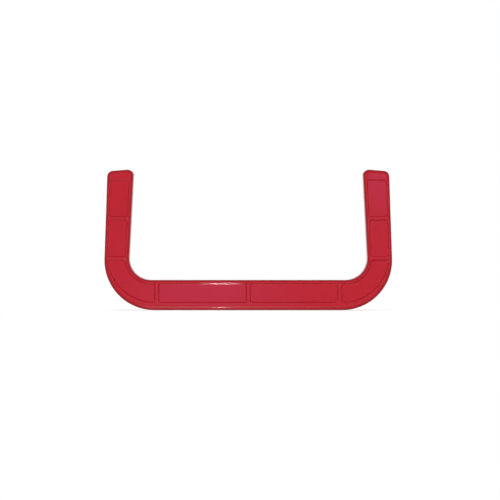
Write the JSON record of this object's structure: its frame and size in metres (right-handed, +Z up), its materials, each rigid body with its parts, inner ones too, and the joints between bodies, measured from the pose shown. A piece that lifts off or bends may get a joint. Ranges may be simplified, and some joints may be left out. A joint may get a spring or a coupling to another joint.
{
  "type": "bowstring separator",
  "caption": "U-shaped hand tool with a string notch across each tip and a cable groove under its base, in moulded shells screwed together from the rear.",
  "frame": {"origin": "underside of the base, at the middle of its length and of the thickness", "axes": "+X along the base, +Z up along the legs, -Y out of the plain front face"},
  "size_m": [0.267, 0.02, 0.1305],
  "materials": {
    "red_moulded_nylon": "moulded, glossy",
    "zinc_plated_steel": "bright zinc plate"
  },
  "bodies": {
    "root": {"front_shell": "red_moulded_nylon", "rear_shell": "red_moulded_nylon", "shell_screws": "zinc_plated_steel"}
  },
  "joints": []
}
